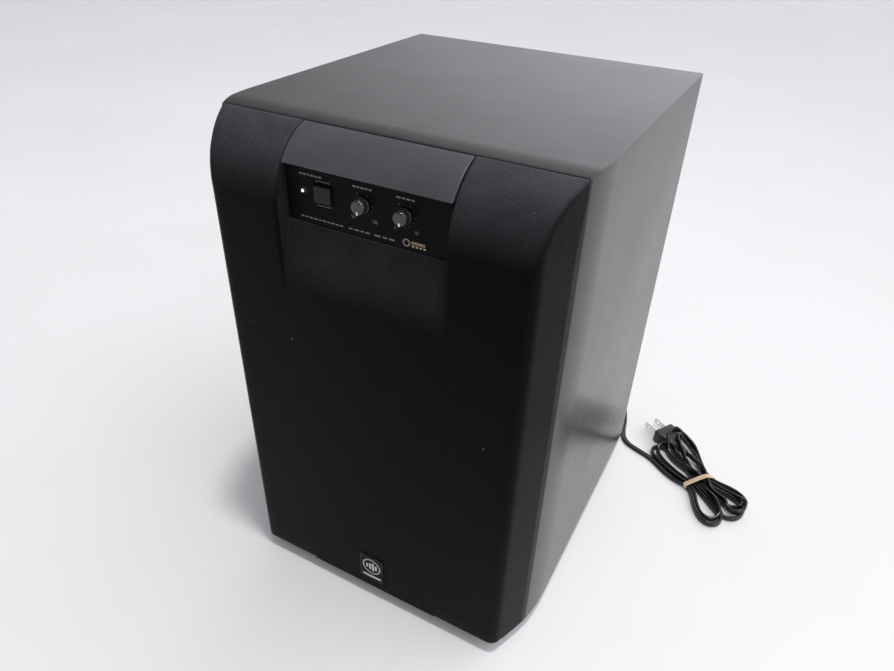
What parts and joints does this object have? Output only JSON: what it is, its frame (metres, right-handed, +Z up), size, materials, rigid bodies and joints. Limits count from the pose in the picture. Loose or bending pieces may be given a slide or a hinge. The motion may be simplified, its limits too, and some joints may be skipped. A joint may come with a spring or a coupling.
{
  "type": "powered subwoofer",
  "caption": "Compact powered subwoofer: box cabinet with a rounded cloth grille, recessed top controls, rear amplifier plate and a hanked mains lead.",
  "frame": {"origin": "on the floor, under the middle of the cabinet's width and depth, heat sink and badge included, lead and plug left out", "axes": "+Z up, +Y from the grille to the back, +X to the right seen from the front"},
  "size_m": [0.3769, 0.346, 0.361],
  "materials": {
    "black_vinyl": "satin black vinyl wrap, fine grain",
    "baffle_board": "black painted particle board",
    "bare_board": "bare fibre board",
    "padding": "polyester wadding",
    "foot_rubber": "dull black rubber",
    "zinc_screw": "bright zinc plate",
    "port_plastic": "moulded black",
    "hood_plastic": "satin black moulding",
    "panel_black": "semi-gloss black with printed marks",
    "circuit_board": "green solder mask",
    "led_lens": "clear lens",
    "switch_plastic": "off-white moulding",
    "pot_metal": "plated steel can",
    "basket_paint": "grey powder coat",
    "black_screw": "black oxide",
    "ferrite": "dark ceramic magnet",
    "plate_steel": "zinc-plated steel",
    "shield_steel": "plated steel cup",
    "amp_paint": "fine-textured black paint",
    "fin_aluminium": "black anodised extrusion",
    "transformer_iron": "varnished laminations and tape",
    "capacitor_sleeve": "shrink sleeve",
    "jack_gold": "plated",
    "terminal_plastic": "moulded black",
    "cord_rubber": "glossy black cord sheath",
    "grille_plastic": "moulded black",
    "grille_cloth": "fine black knitted speaker cloth",
    "peg_nylon": "natural nylon",
    "badge_silver": "satin plate with black field",
    "button_plastic": "satin black",
    "knob_plastic": "satin black, ribbed",
    "shaft_steel": "turned",
    "cone_pulp": "black pressed pulp",
    "dust_cap_cloth": "doped cloth",
    "coil_copper": "copper winding on a former",
    "surround_rubber": "half-roll rubber",
    "spider_cloth": "resin-treated cloth",
    "lever_red": "moulded red",
    "lever_black": "moulded black",
    "band_rubber": "tan rubber band",
    "plug_plastic": "moulded black plug",
    "blade_steel": "plated blades"
  },
  "bodies": {
    "cabinet": {"top_panel": "black_vinyl", "left_side_panel": "black_vinyl", "right_side_panel": "black_vinyl", "bottom_panel": "black_vinyl", "front_baffle": "baffle_board", "rear_panel": "black_vinyl", "cross_brace": "bare_board", "acoustic_padding": "padding", "feet": "foot_rubber", "foot_screws": "zinc_screw", "port_tube": "port_plastic", "control_hood": "hood_plastic", "control_panel": "panel_black", "control_board": "circuit_board", "control_screws": "zinc_screw", "power_led": "led_lens", "switch_body": "switch_plastic", "high_cut_pot": "pot_metal", "volume_pot": "pot_metal", "grille_sockets": "foot_rubber", "basket": "basket_paint", "basket_gasket": "foot_rubber", "basket_screws": "black_screw", "magnet": "ferrite", "front_plate": "plate_steel", "back_plate": "plate_steel", "magnet_shield": "shield_steel", "amp_plate": "amp_paint", "amp_screws": "black_screw", "heat_sink": "fin_aluminium", "amp_board": "circuit_board", "transformer": "transformer_iron", "capacitors": "capacitor_sleeve", "input_jacks": "jack_gold", "terminal_block": "terminal_plastic", "strain_relief": "cord_rubber", "surround": "surround_rubber", "spider": "spider_cloth", "cord_lead": "cord_rubber", "cord_hank": "cord_rubber", "cord_band": "band_rubber", "plug_body": "plug_plastic", "plug_blades": "blade_steel"},
    "grille": {"grille_frame": "grille_plastic", "grille_cloth": "grille_cloth", "grille_pegs": "peg_nylon", "badge": "badge_silver"},
    "power_button": {"power_button": "button_plastic"},
    "high_cut_control": {"high_cut_knob": "knob_plastic", "high_cut_shaft": "shaft_steel"},
    "volume_control": {"volume_knob": "knob_plastic", "volume_shaft": "shaft_steel"},
    "cone_assembly": {"cone": "cone_pulp", "dust_cap": "dust_cap_cloth", "voice_coil": "coil_copper"},
    "lever_1": {"lever_1": "lever_red"},
    "lever_2": {"lever_2": "lever_black"},
    "lever_3": {"lever_3": "lever_red"},
    "lever_4": {"lever_4": "lever_black"}
  },
  "joints": [
    {"name": "power_button_press", "type": "slide", "parent": "cabinet", "child": "power_button", "axis": [0, 1, 0], "range_m": [0, 0.0015], "stiffness_N_per_m": 600, "springref_m": -0.0015},
    {"name": "high_cut_turn", "type": "hinge", "parent": "cabinet", "child": "high_cut_control", "pos_m": [-0.002, -0.1335, 0.3268], "axis": [0, 1, 0], "range_deg": [-150, 150]},
    {"name": "volume_turn", "type": "hinge", "parent": "cabinet", "child": "volume_control", "pos_m": [0.0245, -0.1335, 0.3268], "axis": [0, 1, 0], "range_deg": [-150, 150]},
    {"name": "cone_travel", "type": "slide", "parent": "cabinet", "child": "cone_assembly", "axis": [0, -1, 0], "range_m": [-0.005, 0.005], "stiffness_N_per_m": 900, "deforming": ["surround", "spider"]},
    {"name": "grille_pull", "type": "slide", "parent": "cabinet", "child": "grille", "axis": [0, -1, 0], "range_m": [0, 0.06]},
    {"name": "lever_1_lift", "type": "hinge", "parent": "cabinet", "child": "lever_1", "pos_m": [-0.0575, 0.1399, 0.129], "axis": [1, 0, 0], "range_deg": [0, 30], "stiffness_Nm_per_rad": 0.05, "springref_deg": -17.19},
    {"name": "lever_2_lift", "type": "hinge", "parent": "cabinet", "child": "lever_2", "pos_m": [-0.0445, 0.1399, 0.129], "axis": [1, 0, 0], "range_deg": [0, 30], "stiffness_Nm_per_rad": 0.05, "springref_deg": -17.19},
    {"name": "lever_3_lift", "type": "hinge", "parent": "cabinet", "child": "lever_3", "pos_m": [-0.0315, 0.1399, 0.129], "axis": [1, 0, 0], "range_deg": [0, 30], "stiffness_Nm_per_rad": 0.05, "springref_deg": -17.19},
    {"name": "lever_4_lift", "type": "hinge", "parent": "cabinet", "child": "lever_4", "pos_m": [-0.0185, 0.1399, 0.129], "axis": [1, 0, 0], "range_deg": [0, 30], "stiffness_Nm_per_rad": 0.05, "springref_deg": -17.19}
  ]
}
